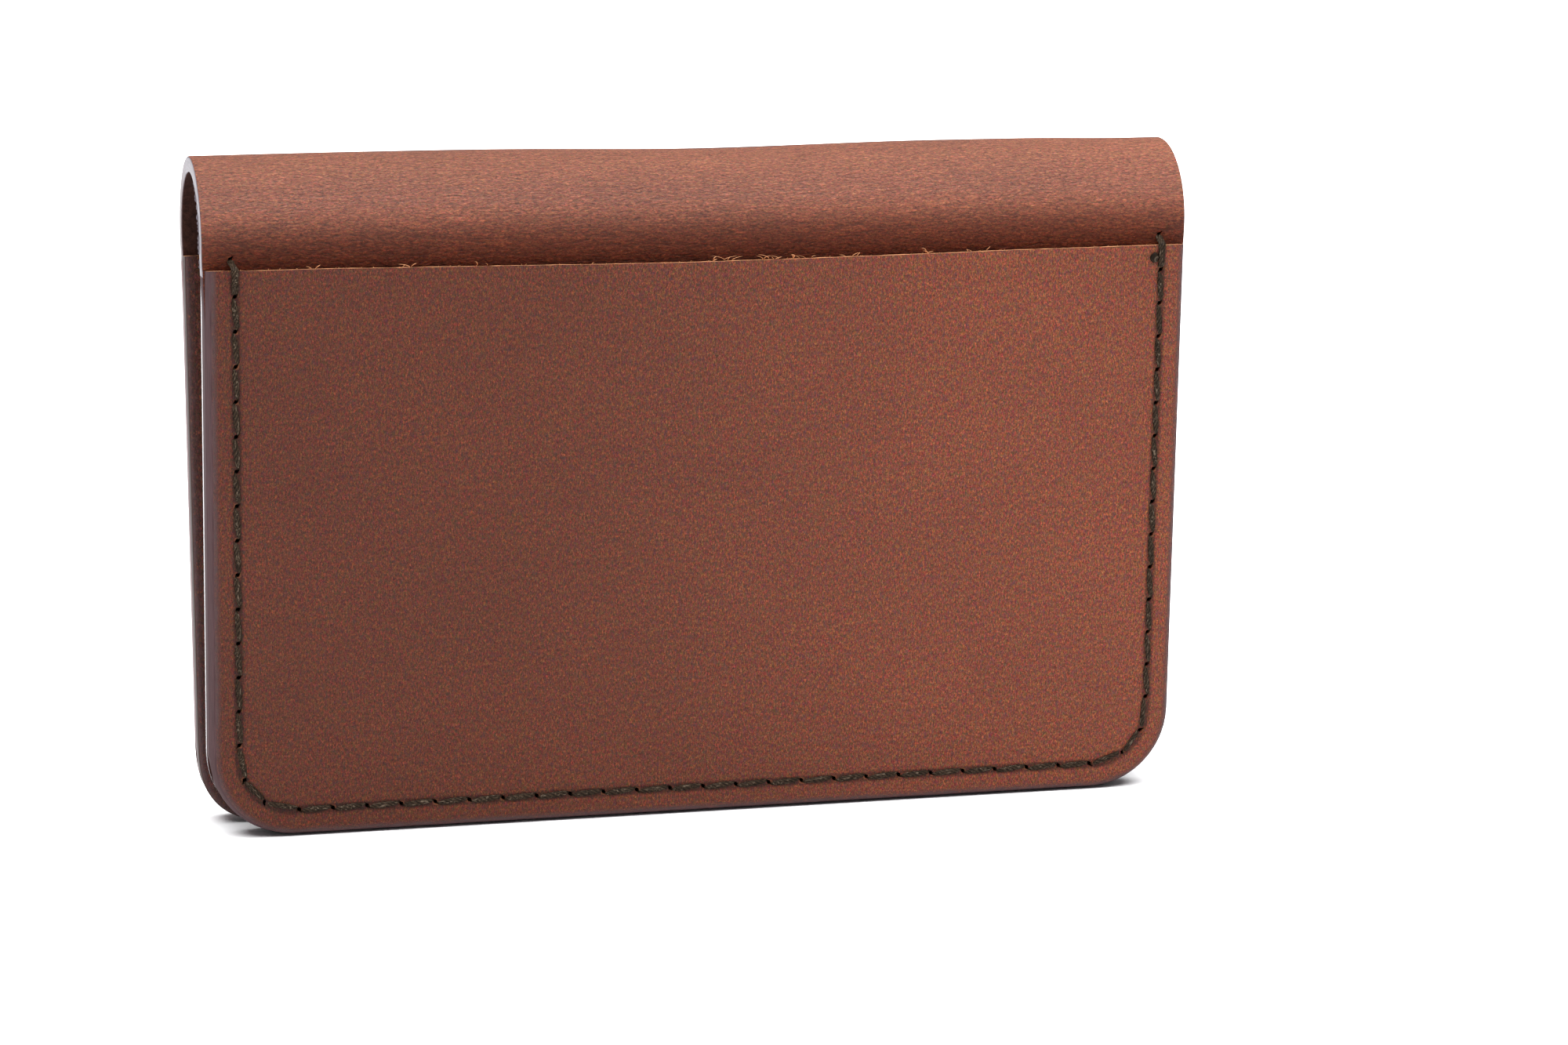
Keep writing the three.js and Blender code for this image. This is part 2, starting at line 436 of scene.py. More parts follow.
def make_piece(name, bm, materials):
    """Puts the finished mesh into the scene under its name."""
    mesh = bpy.data.meshes.new(name)
    bm.to_mesh(mesh)
    bm.free()
    piece = bpy.data.objects.new(name, mesh)
    bpy.context.scene.collection.objects.link(piece)
    for material in materials:
        mesh.materials.append(material)
    return piece


NO_LIGHT_EDGE = 1.0  # a height that no sheet reaches
SHARP = math.radians(48)  # edges over this angle are shaded as corners


def finish_leather(name, bm, placed, lie, materials, light_edge_above=NO_LIGHT_EDGE, trim=None):
    """Marks each face's finish, keeps the flat layout as an attribute and stands the sheet up.

    The rim above light_edge_above has the last of the materials. trim adds the loose fibres.
    """
    flat = bm.verts.layers.float_vector.new("flat")
    inset = bm.verts.layers.float.new("inset")
    finish = bm.faces.layers.int["finish"]
    for f in bm.faces:
        if f[finish]:
            f.material_index = f[finish] - 1
        elif f.normal.z > GRAIN_TILT:
            f.material_index = GRAIN
        elif f.normal.z < FLESH_TILT:
            f.material_index = FLESH
        else:
            high = f.calc_center_median().y > light_edge_above
            f.material_index = CUT if high else BURNISHED
        f.smooth = True
    for v in bm.verts:
        x, up, out = v.co
        v[flat] = v.co
        v[inset] = inset_of(x, up)
        v.co = placed(x, up, out + lie(x, up, v[inset]))
    if trim:
        trim(bm)
    bmesh.ops.recalc_face_normals(bm, faces=bm.faces)
    for e in bm.edges:
        if len(e.link_faces) == 2 and e.calc_face_angle() > SHARP:
            e.smooth = False
    return make_piece(name, bm, materials)


def strand(bm, path, radii, sides):
    """A thin closed tube in the colour of cut leather."""
    for v in wrap_tube(bm, path, radii, sides):
        for f in v.link_faces:
            f.material_index = CUT
            f.smooth = True


def fibre(bm, start, lean, length, thick, curl, surface):
    """One loose fibre on a cut: a thin tube that rises from the cut and curls."""
    path, radii = [], []
    steps = 5
    across, off = Vector((1, 0, 0)), Vector((0, 1, 0.3)).normalized()
    for k in range(steps + 1):
        t = k / steps
        x = start[0] + length * (lean * t + curl * t * t)
        up = start[1] + length * t * (1 - 0.45 * t)
        out = start[2] + 0.25 * length * math.sin(2.6 * t)
        centre = surface(x, up, out)
        path.append((centre, across, off))
        fat = 0.0 if k in (0, steps) else thick * (1 - 0.6 * t)
        radii.append((fat, fat))
    strand(bm, path, radii, sides=5)


def mouth_sag(x):
    """The cut was drawn a little low in the middle."""
    return -0.42 * MM * bell(x / (0.6 * HALF_WIDTH))


# millimetres across, and how many fibres stand there
FIBRE_SPOTS = [
    (-41.5, 2), (-30.8, 3), (-23, 2),
    (1.5, 6), (6.5, 7), (10, 6), (14.5, 3), (23.5, 4), (28.5, 3),
]
SHORT_FIBRES = 70
TUFTS = 60


def mouth_fibres(bm, mouth, surface):
    """Fibres left standing where the knife was less keen, and a short nap all along the cut."""
    for centre, count in FIBRE_SPOTS:
        for _ in range(count):
            x = (centre + random.uniform(-1.4, 1.4)) * MM
            start = (x, mouth + mouth_sag(x) - 0.05 * MM, -random.uniform(0.1, 0.7) * MM)
            length = random.uniform(0.4, 1.1) * MM
            lean, curl = random.uniform(-1, 1), random.uniform(-1.2, 1.2)
            fibre(bm, start, lean, length, random.uniform(0.04, 0.075) * MM, curl, surface)
    for _ in range(SHORT_FIBRES):
        x = random.uniform(-0.94, 0.94) * HALF_WIDTH
        start = (x, mouth + mouth_sag(x) - 0.04 * MM, -random.uniform(0.0, 0.5) * MM)
        length = random.uniform(0.10, 0.28) * MM
        fibre(bm, start, random.uniform(-0.8, 0.8), length, 0.035 * MM, 0.3, surface)


def flesh_tufts(bm, surface):
    """Short tufts along the inner arris of the fold's left end."""
    steps = 4
    across, off = Vector((1, 0, 0)), Vector((0, 0.2, 1)).normalized()
    for _ in range(TUFTS):
        run = random.uniform(OUTER_MOUTH, APEX_RUN - 4 * MM)
        size = random.uniform(0.20, 0.56) * MM
        at = (-HALF_WIDTH + random.uniform(-0.02, 0.10) * MM, run, -COVER_THICKNESS + 0.06 * MM)
        path, radii = [], []
        for k in range(steps + 1):
            t = k / steps
            centre = surface(at[0] + 0.25 * size * t, at[1] + 0.5 * size * t, at[2] - size * t)
            path.append((centre, across, off))
            fat = 0.0 if k in (0, steps) else 0.42 * size * (1 - 0.6 * t)
            radii.append((fat, 1.5 * fat))
        strand(bm, path, radii, sides=6)


CUT_SLOPE = 0.095  # the knife leans, so the cut falls away towards the back
RAGGED_BAND = 0.5 * MM  # how far below the mouth the cut's unevenness fades out


def ragged_mouth(bm, mouth, seed):
    """The knife-cut mouth is not quite straight."""
    for v in bm.verts:
        if v.co.y > mouth - RAGGED_BAND:
            sag = mouth_sag(v.co.x)
            fine = 0.035 * MM * noise.noise(Vector((v.co.x / (0.9 * MM), seed, v.co.z / MM)))
            coarse = 0.05 * MM * noise.noise(Vector((v.co.x / (7 * MM), seed, 3.1)))
            near = smooth((v.co.y - mouth + RAGGED_BAND) / RAGGED_BAND)
            v.co.y += (sag + coarse + fine + CUT_SLOPE * v.co.z) * near


def pocket(name, side, facing, mouth, face, back, arris, seed, bow, materials):
    """A pocket from its flat sheet to its place: rounded, slit and cut ragged at the mouth."""
    bm = bmesh.new()
    burr_and_shade_layer = bm.verts.layers.float.new("burr_and_slit_shade")
    lay_grid(bm, across_lines(), up_lines(mouth))
    thicken(bm, abs(face - back))
    bm.normal_update()
    finish = bm.faces.layers.int.new("finish")
    for f in bm.faces:
        f[finish] = 1 + CUT if f.normal.y > 0.7 else 0
    round_arris(bm, 0.0, arris, skip=lambda e: all(v.co.y > mouth - 1e-7 for v in e.verts))
    bm.normal_update()
    holes = cut_slits(bm, [h for h in HOLES if h[0].y < mouth], 0.0, burr_and_shade_layer)
    ragged_mouth(bm, mouth, seed)
    bm.normal_update()
    lie = lie_pocket(mouth, seed, bow)
    placed = stand_layer(side, face, facing)

    def fray(sheet):
        mouth_fibres(sheet, mouth, placed)

    piece = finish_leather(name, bm, placed, lie, materials, trim=fray if facing > 0 else None)
    return piece, holes, placed, lie


def cover_half(side, materials):
    """Half of the cover, from its free edge to the top of the fold, with slits above the mouths."""
    bm = bmesh.new()
    burr_and_shade_layer = bm.verts.layers.float.new("burr_and_slit_shade")
    runs = [MM * v for v in (0, 1, 2.5, 5, 8.5, 12, 18, 24, 30, 36, 42, 46, 49, 51, 52.5)]
    seam_runs = [p.y / math.cos(LEAN) for p, d in HOLES if p.x < 0 and p.y > INNER_MOUTH]
    strong, weak = hole_lines(seam_runs)
    arc = [FOLD_RUN + (APEX_RUN - FOLD_RUN) * i / 34 for i in range(35)]
    near_top = [APEX_RUN - k * MM for k in (0.06, 0.16)]
    runs = lines(strong + [APEX_RUN] + near_top, runs + weak + arc)
    lay_grid(bm, across_lines(1.0 * MM), runs)
    thicken(bm, COVER_THICKNESS)
    bm.normal_update()
    bm.faces.layers.int.new("finish")

    def top(e):
        return all(v.co.y > APEX_RUN - 1e-7 for v in e.verts)

    def left(e):
        return min(v.co.x for v in e.verts) < 0

    round_arris(bm, 0.0, COVER_ARRIS_LEFT, skip=lambda e: top(e) or not left(e))
    bm.normal_update()
    round_arris(bm, 0.0, COVER_ARRIS_RIGHT, skip=lambda e: top(e) or left(e))
    bm.normal_update()
    round_arris(bm, -COVER_THICKNESS, FLESH_ARRIS, skip=top)
    bm.normal_update()
    seam = [(Vector((p.x, p.y / math.cos(LEAN))), d) for p, d in HOLES]
    outer = cut_slits(bm, [h for h in seam if h[0].y > OUTER_MOUTH + 0.2 * MM], 0.0, burr_and_shade_layer)
    inner = [h for h in seam if h[0].y > INNER_MOUTH + 0.2 * MM]
    inner = cut_slits(bm, inner, -COVER_THICKNESS, burr_and_shade_layer)
    bm.normal_update()
    placed, lie = stand_cover(side), lie_cover(COVER_SEED[side])
    piece = finish_leather(
        f"cover_{side}", bm, placed, lie, materials,
        light_edge_above=OUTER_MOUTH - 0.5 * MM, trim=lambda b: flesh_tufts(b, placed),
    )
    for e in piece.data.edges:
        if all(abs(piece.data.vertices[i].co.y) < 1e-6 for i in e.vertices):
            e.use_edge_sharp = True
    return piece, outer, inner, placed, lie


# ------------------------------------------------------------------ waxed thread


def wrap_tube(bm, path, radii, sides=8):
    """A closed tube along the path, flattened as the radii say: (across, off the face) each."""
    uv = bm.loops.layers.uv.verify()
    made = bmesh.ops.create_grid(
        bm, x_segments=sides, y_segments=len(path) - 1, size=0.5, calc_uvs=True
    )["verts"]
    for v in made:
        turn = 2 * math.pi * (v.co.x + 0.5)
        k = round((v.co.y + 0.5) * (len(path) - 1))
        centre, across, off = path[k]
        wide, high = radii[k]
        v.co = centre + across * (wide * math.cos(turn)) + off * (high * math.sin(turn))
    bmesh.ops.remove_doubles(bm, verts=made, dist=1e-7)
    return [v for v in made if v.is_valid]


SINK = 0.45 * MM  # how deep a stitch's ends lie in their slits
STITCH_STEPS = 12
HALF_ACROSS = 0.41 * THREAD  # the thread is pressed a little flat
HALF_HIGH = 0.30 * THREAD
SLANT = 0.16 * MM  # how far each end lies to the side of the seam line
CREST = 0.03 * MM  # height of a stitch's middle above the leather
SECOND_CREST = 0.18 * MM  # how much higher the second thread of a doubled end stitch lies


def stitch_path(start, end, crest, surface, slant):
    """From inside one slit to inside the next, over the grain face between them."""
    along = (end - start).normalized()
    across = Vector((-along.y, along.x))
    first = start - across * slant
    last = end + across * slant
    path, radii = [], []
    for k in range(STITCH_STEPS + 1):
        t = k / STITCH_STEPS
        spot = first.lerp(last, t)
        rise = smooth(min(t, 1 - t) / 0.13)
        out = -SINK + (SINK + crest) * rise
        centre = surface(spot.x, spot.y, out)
        nearby = surface(spot.x, spot.y, out + 0.1 * MM)
        beside = surface(spot.x + across.x * 0.1 * MM, spot.y + across.y * 0.1 * MM, out)
        path.append((centre, (beside - centre).normalized(), (nearby - centre).normalized()))
        swell = 0.66 + 0.34 * smooth(min(t, 1 - t) / 0.40)
        point = 0 if k in (0, STITCH_STEPS) else 1
        radii.append((HALF_ACROSS * swell * point, HALF_HIGH * swell * point))
    return path, radii


def melted_end(bm, surface):
    """The thread's end, melted to a bead beside the last stitch."""
    x, up = HALF_WIDTH - SEAM_INSET - 0.80 * MM, OUTER_MOUTH - 1.35 * MM
    bead = bmesh.ops.create_icosphere(bm, subdivisions=3, radius=1.0)["verts"]
    for v in bead:
        lump = 1 + 0.16 * noise.noise(v.co * 1.7)
        spread = v.co * lump
        v.co = surface(
            x + 0.50 * MM * spread.x, up + 0.52 * MM * spread.y, 0.10 * MM + 0.26 * MM * spread.z
        )


def sew(name, runs, materials):
    """All the stitches of one seam. Each run is (holes, surface, double end stitches or not)."""
    bm = bmesh.new()
    bm.loops.layers.uv.verify()
    melted_end(bm, runs[0][1])
    for holes, surface, doubled in runs:
        last = len(holes) - 2
        for i in range(last + 1):
            slant = SLANT * random.uniform(0.8, 1.2)
            crest = CREST * random.uniform(0.6, 1.4)
            start, end = holes[i][0], holes[i + 1][0]
            wrap_tube(bm, *stitch_path(start, end, crest, surface, slant))
            if doubled and i in (0, last):
                wrap_tube(bm, *stitch_path(start, end, crest + SECOND_CREST, surface, -slant))
    bmesh.ops.recalc_face_normals(bm, faces=bm.faces)
    for f in bm.faces:
        f.smooth = True
    return make_piece(name, bm, materials)


# ------------------------------------------------------------------ materials


def new_material(name):
    material = bpy.data.materials.new(name)
    material.use_nodes = True
    tree = material.node_tree
    shader = tree.nodes["Principled BSDF"]
    return material, tree, shader


class Wires:
    """Short ways to add and join shader nodes."""

    def __init__(self, tree):
        self.tree = tree

    def node(self, kind, **settings):
        made = self.tree.nodes.new(kind)
        for key, value in settings.items():
            if key.startswith("in_"):
                made.inputs[key[3:].replace("_", " ")].default_value = value
            else:
                setattr(made, key, value)
        return made

    def join(self, a, b):
        self.tree.links.new(a, b)

    def flat(self, scale):
        """The flat layout, stretched by scale, in units of one over that many metres."""
        source = self.node("ShaderNodeAttribute", attribute_name="flat")
        mapping = self.node("ShaderNodeMapping")
        mapping.inputs["Scale"].default_value = scale
        self.join(source.outputs["Vector"], mapping.inputs["Vector"])
        return mapping.outputs["Vector"]

    def flat_axis(self, axis):
        split = self.node("ShaderNodeSeparateXYZ")
        self.join(self.flat((1, 1, 1)), split.inputs["Vector"])
        return split.outputs[axis]

    def near_rim(self):
        """1 at the rubbed rim of a sheet and 0 from 1.1 mm inside it, with a broken line."""
        inset = self.node("ShaderNodeAttribute", attribute_name="inset")
        near = self.range(inset.outputs["Fac"], 1.1 * MM, 0.25 * MM)
        broken = self.ramp(self.noise((700, 700, 700), 4.0, 0.6), (0.35, grey(0.55)), (0.6, grey(1.0)))
        return self.blend(near, broken, "MULTIPLY")

    def seam_shade(self):
        """Wax and painted shade darken the groove that the stitches lie in."""
        inset = self.node("ShaderNodeAttribute", attribute_name="inset").outputs["Fac"]
        off = self.node("ShaderNodeMath", operation="SUBTRACT")
        self.join(inset, off.inputs[0])
        off.inputs[1].default_value = SEAM_INSET
        away = self.node("ShaderNodeMath", operation="ABSOLUTE")
        self.join(off.outputs[0], away.inputs[0])
        near = self.range(away.outputs[0], 0.32 * MM, 0.62 * MM)
        return self.ramp(near, (0.0, grey(0.40)), (1.0, grey(1.0)))

    def slit_burrs_and_painted_shade(self, colour):
        """Paler burrs round some slits, and painted shade down inside them."""
        burr_and_slit_shade = self.node("ShaderNodeAttribute", attribute_name="burr_and_slit_shade").outputs["Fac"]
        colour = self.blend(colour, BURR, "MIX", self.range(burr_and_slit_shade, 0.3, 1.0, 0.0, 0.6))
        # painted shade down inside the slits
        return self.blend(colour, SLIT_PAINTED_SHADE, "MIX", self.range(burr_and_slit_shade, 0.1, -0.4))

    def noise(self, scale, detail=4.0, rough=0.6, distort=0.0):
        made = self.node("ShaderNodeTexNoise", in_Scale=1.0, in_Detail=detail,
                         in_Roughness=rough, in_Distortion=distort)
        self.join(self.flat(scale), made.inputs["Vector"])
        return made.outputs["Fac"]

    def many_coloured(self, scale, strength):
        """Flecks of every hue about 1, as fibres take up the dye unevenly."""
        made = self.node("ShaderNodeTexNoise", in_Scale=1.0, in_Detail=4.0, in_Roughness=0.75)
        self.join(self.flat(scale), made.inputs["Vector"])
        spread = self.node("ShaderNodeVectorMath", operation="MULTIPLY_ADD")
        self.join(made.outputs["Color"], spread.inputs[0])
        spread.inputs[1].default_value = grey(strength)
        spread.inputs[2].default_value = grey(1 - strength / 2)
        kept = self.node("ShaderNodeVectorMath", operation="MAXIMUM")
        self.join(spread.outputs[0], kept.inputs[0])
        kept.inputs[1].default_value = grey(0.2)
        return kept.outputs[0]

    def ramp(self, value, *stops):
        """A colour that runs through the (place, colour) stops as the value goes from 0 to 1."""
        made = self.node("ShaderNodeValToRGB")
        ramp = made.color_ramp
        while len(ramp.elements) < len(stops):
            ramp.elements.new(0.5)
        for element, (place, colour) in zip(ramp.elements, stops):
            element.position = place
            element.color = (*colour, 1)
        self.join(value, made.inputs["Fac"])
        return made.outputs["Color"]

    def blend(self, a, b, how="MIX", amount=1.0):
        made = self.node("ShaderNodeMix", data_type="RGBA", blend_type=how)
        for source, target in ((a, made.inputs[6]), (b, made.inputs[7])):
            if isinstance(source, tuple):
                target.default_value = (*source, 1)
            else:
                self.join(source, target)
        if isinstance(amount, float):
            made.inputs[0].default_value = amount
        else:
            self.join(amount, made.inputs[0])
        return made.outputs[2]

    def range(self, value, low, high, out_low=0.0, out_high=1.0):
        """The value between low and high, spread over out_low to out_high and kept inside them."""
        made = self.node("ShaderNodeMapRange")
        self.join(value, made.inputs[0])
        for k, number in enumerate((low, high, out_low, out_high)):
            made.inputs[k + 1].default_value = number
        return made.outputs[0]

    def bump(self, height, strength, distance, before=None):
        made = self.node("ShaderNodeBump", in_Strength=strength, in_Distance=distance)
        self.join(height, made.inputs["Height"])
        if before is not None:
            self.join(before, made.inputs["Normal"])
        return made.outputs["Normal"]


def grey(value):
    return (value, value, value)


POCKET_DYE = (0.875, 0.71, 0.64)
COVER_DYE = (0.79, 0.69, 0.64)
INNER_PAINTED_SHADE = 0.27  # painted shade: the inner pockets' leather against the outer ones', painted darker for the shade in the gap
BURR = (0.20, 0.07, 0.03)
# painted shade for the floors of the slits
SLIT_PAINTED_SHADE = (0.008, 0.004, 0.003)


def pocket_leather(name, shade=1.0):
    """Smooth vegetable-tanned leather: fine upright fibres, with small orange and plum flecks.

    It is painted paler towards the right: painted light, as if lit from that side.
    """
    material, tree, shader = new_material(name)
    w = Wires(tree)
    fibres = w.noise((6400, 2900, 4000), 6.0, 0.74, 0.3)
    tones = (
        (0.36, (0.075, 0.020, 0.012)), (0.46, (0.165, 0.050, 0.026)),
        (0.54, (0.235, 0.074, 0.035)), (0.64, (0.400, 0.135, 0.058)),
    )
    # a shade below 1 darkens the tones: painted shade
    colour = w.ramp(fibres, *[(place, tuple(c * shade for c in tone)) for place, tone in tones])
    clouds = w.noise((45, 60, 50), 3.0, 0.55)
    colour = w.blend(colour, w.ramp(clouds, (0.30, grey(0.90)), (0.70, grey(1.10))), "MULTIPLY")
    plum = w.noise((2700, 1200, 1500), 5.0, 0.72)
    colour = w.blend(colour, (0.130, 0.048, 0.046), "MIX", w.range(plum, 0.49, 0.60, 0.0, 0.85))
    olive = w.noise((3300, 1800, 1500), 5.0, 0.74, 0.5)
    colour = w.blend(colour, (0.085, 0.045, 0.024), "MIX", w.range(olive, 0.53, 0.62, 0.0, 0.7))
    orange = w.noise((3700, 1600, 1500), 5.0, 0.76)
    colour = w.blend(colour, (0.36, 0.11, 0.035), "MIX", w.range(orange, 0.55, 0.66, 0.0, 0.7))
    grain = w.noise((9500, 5600, 5000), 4.0, 0.8)
    colour = w.blend(colour, w.ramp(grain, (0.38, grey(0.52)), (0.62, grey(1.50))), "MULTIPLY")
    colour = w.blend(colour, w.many_coloured((5200, 3000, 3000), 3.4), "MULTIPLY")
    colour = w.blend(colour, POCKET_DYE, "MULTIPLY")
    # painted light: darker towards the left and full towards the right, standing in for light from the
    # right
    colour = w.blend(colour, w.ramp(
        w.range(w.flat_axis(0), -HALF_WIDTH, HALF_WIDTH),
        (0.0, (0.49, 0.46, 0.44)), (0.30, (0.57, 0.55, 0.52)), (0.50, grey(0.70)),
        (0.72, grey(0.92)), (0.95, grey(1.0)),
    ), "MULTIPLY")
    rubbed = w.range(w.near_rim(), 0.0, 1.0, 0.0, 0.85)
    colour = w.blend(colour, (0.064, 0.037, 0.039), "MIX", rubbed)
    # wax and painted shade in the stitch groove
    colour = w.blend(colour, w.seam_shade(), "MULTIPLY")
    colour = w.slit_burrs_and_painted_shade(colour)
    w.join(colour, shader.inputs["Base Color"])
    shader.inputs["Specular IOR Level"].default_value = 0.16
    w.join(w.range(fibres, 0.3, 0.7, 0.66, 0.50), shader.inputs["Roughness"])
    pores = w.noise((6500, 4800, 5000), 3.0, 0.6)
    normal = w.bump(fibres, 0.90, 0.00011)
    w.join(w.bump(pores, 0.60, 0.00004, normal), shader.inputs["Normal"])
    return material


def cover_leather(name):
    """The same hide, boarded over the fold: long fine wrinkles that run along it.

    It is painted dark and red at the foot of the fold and pale on top: painted shade at the foot,
    painted light and sheen on top.
    """
    material, tree, shader = new_material(name)
    w = Wires(tree)
    wrinkles = w.noise((2200, 5600, 2600), 7.0, 0.76, 0.8)
    colour = w.ramp(
        wrinkles,
        (0.36, (0.085, 0.024, 0.014)),
        (0.46, (0.175, 0.053, 0.028)),
        (0.54, (0.260, 0.086, 0.043)),
        (0.66, (0.400, 0.150, 0.078)),
    )
    clouds = w.noise((50, 90, 60), 3.0, 0.55)
    colour = w.blend(colour, w.ramp(clouds, (0.30, grey(0.92)), (0.70, grey(1.08))), "MULTIPLY")
    colour = w.blend(colour, w.many_coloured((3600, 5600, 3000), 1.9), "MULTIPLY")
    colour = w.blend(colour, COVER_DYE, "MULTIPLY")
    # painted shade and light: darker and redder at the foot of the fold, paler and greyer on top, for
    # the light from above
    colour = w.blend(colour, w.ramp(
        w.range(w.flat_axis(1), OUTER_MOUTH, APEX_RUN),
        (0.0, (0.53, 0.40, 0.33)), (0.10, (0.62, 0.44, 0.33)), (0.20, (0.77, 0.60, 0.46)),
        (0.32, (1.30, 1.25, 1.20)), (0.50, (1.24, 1.22, 1.18)), (0.70, (1.40, 1.50, 1.48)),
    ), "MULTIPLY")
    # painted light: paler towards the right, as if lit from that side
    colour = w.blend(colour, w.ramp(
        w.range(w.flat_axis(0), -HALF_WIDTH, HALF_WIDTH),
        (0.0, grey(0.94)), (0.5, grey(1.0)), (1.0, grey(1.14)),
    ), "MULTIPLY")
    cells = w.node("ShaderNodeTexVoronoi", feature="DISTANCE_TO_EDGE", in_Scale=1.0)
    w.join(w.flat((1500, 3300, 1500)), cells.inputs["Vector"])
    creases = w.range(cells.outputs["Distance"], 0.0, 0.16)
    colour = w.blend(colour, w.ramp(creases, (0.0, grey(0.80)), (0.8, grey(1.06))), "MULTIPLY")
    colour = w.slit_burrs_and_painted_shade(colour)
    soft = w.noise((620, 2500, 900), 5.0, 0.62, 1.3)
    near_foot = w.range(w.flat_axis(1), OUTER_MOUTH + 8 * MM, OUTER_MOUTH + 3 * MM, 0.35, 1.0)
    folds = w.ramp(soft, (0.36, grey(0.62)), (0.50, grey(1.0)), (0.66, grey(1.30)))
    colour = w.blend(colour, folds, "MULTIPLY", near_foot)
    w.join(colour, shader.inputs["Base Color"])
    sheen = w.range(w.flat_axis(1), OUTER_MOUTH, OUTER_MOUTH + 6 * MM, 0.08, 0.36)
    w.join(sheen, shader.inputs["Specular IOR Level"])
    w.join(w.range(wrinkles, 0.3, 0.7, 0.58, 0.42), shader.inputs["Roughness"])
    normal = w.bump(wrinkles, 1.0, 0.00017)
    normal = w.bump(soft, 0.90, 0.00034, normal)
    w.join(w.bump(creases, 0.40, 0.00005, normal), shader.inputs["Normal"])
    return material


def flesh_side():
    """Suede-like back of the leather, its brown painted very dark: painted shade for the inside of the
    fold.
    """
    material, tree, shader = new_material("leather_flesh_side")
    w = Wires(tree)
    nap = w.noise((1500, 1500, 1500), 6.0, 0.7, 0.4)
    colour = w.ramp(nap, (0.3, (0.014, 0.006, 0.005)), (0.7, (0.048, 0.019, 0.014)))
    w.join(colour, shader.inputs["Base Color"])
    shader.inputs["Roughness"].default_value = 0.9
    shader.inputs["Specular IOR Level"].default_value = 0.08
    w.join(w.bump(nap, 0.8, 0.0002), shader.inputs["Normal"])
    return material


def burnished_edge(name, base, gloss=0.04, rough=0.45):
    """Edges rubbed smooth with wax: closed and satin, with faint lines along them."""
    material, tree, shader = new_material(name)
    w = Wires(tree)
    rubbed = w.noise((350, 350, 5200), 4.0, 0.6)
    low = tuple(0.75 * c for c in base)
    high = tuple(1.25 * c for c in base)
    w.join(w.ramp(rubbed, (0.35, low), (0.65, high)), shader.inputs["Base Color"])
    w.join(w.range(rubbed, 0.3, 0.7, 0.85 * rough, 1.15 * rough), shader.inputs["Roughness"])
    shader.inputs["Specular IOR Level"].default_value = gloss
    w.join(w.bump(rubbed, 0.12, 0.00004), shader.inputs["Normal"])
    return material


def painted_light_fold_ends():
    """The fold's ends: the waxed edge is painted pale, partly its own light fibres and partly a painted
    reflection, except low down on the right of each half, where it stays dark plum.
    """
    material, tree, shader = new_material("fold_ends_painted_light")
    w = Wires(tree)
    rubbed = w.noise((350, 350, 5200), 4.0, 0.6)
    # painted light: the pale colour stands partly for light the edge reflects
    light = w.ramp(rubbed, (0.35, (0.105, 0.090, 0.103)), (0.65, (0.165, 0.143, 0.163)))
    right = w.range(w.flat_axis(0), 1 * MM, 3 * MM)
    low_down = w.range(w.flat_axis(1), APEX_RUN - 2 * MM, APEX_RUN - 8 * MM)
    dark = w.blend(right, low_down, "MULTIPLY")
    w.join(w.blend(light, (0.085, 0.052, 0.054), "MIX", dark), shader.inputs["Base Color"])
    shader.inputs["Roughness"].default_value = 0.36
    shader.inputs["Specular IOR Level"].default_value = 0.10
    w.join(w.bump(rubbed, 0.12, 0.00004), shader.inputs["Normal"])
    return material


def waxed_arris_painted_highlight():
    """An inner pocket's edge, glossy with wax but for a satin line beside the cover; the waxed line is
    also painted pale, a painted highlight.
    """
    material, tree, shader = new_material("waxed_arris_painted_highlight")
    w = Wires(tree)
    rubbed = w.noise((350, 350, 5200), 4.0, 0.6)
    satin = w.ramp(rubbed, (0.35, (0.060, 0.034, 0.035)), (0.65, (0.100, 0.058, 0.060)))
    wax_and_highlight = w.range(w.flat_axis(2), -1.15 * MM, -0.95 * MM)
    # painted highlight: the waxed line is painted pale grey, on top of its real gloss
    colour = w.blend(satin, (0.135, 0.115, 0.120), "MIX", wax_and_highlight)
    w.join(colour, shader.inputs["Base Color"])
    w.join(w.range(wax_and_highlight, 0.0, 1.0, 0.50, 0.12), shader.inputs["Roughness"])
    w.join(w.range(wax_and_highlight, 0.0, 1.0, 0.02, 0.85), shader.inputs["Specular IOR Level"])
    return material


def raw_cut():
    """The pocket's mouth: a knife cut that shows the lighter middle of the leather."""
    material, tree, shader = new_material("leather_raw_cut")
    w = Wires(tree)
    fibres = w.noise((2600, 2600, 2600), 5.0, 0.7)
    colour = w.ramp(fibres, (0.35, (0.22, 0.090, 0.046)), (0.6, (0.60, 0.290, 0.140)))
    w.join(colour, shader.inputs["Base Color"])
    shader.inputs["Roughness"].default_value = 0.9
    shader.inputs["Specular IOR Level"].default_value = 0.03
    w.join(w.bump(fibres, 0.9, 0.0001), shader.inputs["Normal"])
    return material


def stitch_seed(w):
    """A value that drifts from stitch to stitch, so that no two stitches carry the same flecks."""
    place = w.node("ShaderNodeTexCoord")
    slow = w.node("ShaderNodeTexNoise", in_Scale=190.0, in_Detail=1.0)
    w.join(place.outputs["Object"], slow.inputs["Vector"])
    return w.range(slow.outputs["Fac"], 0.2, 0.8, 0.0, 40.0)


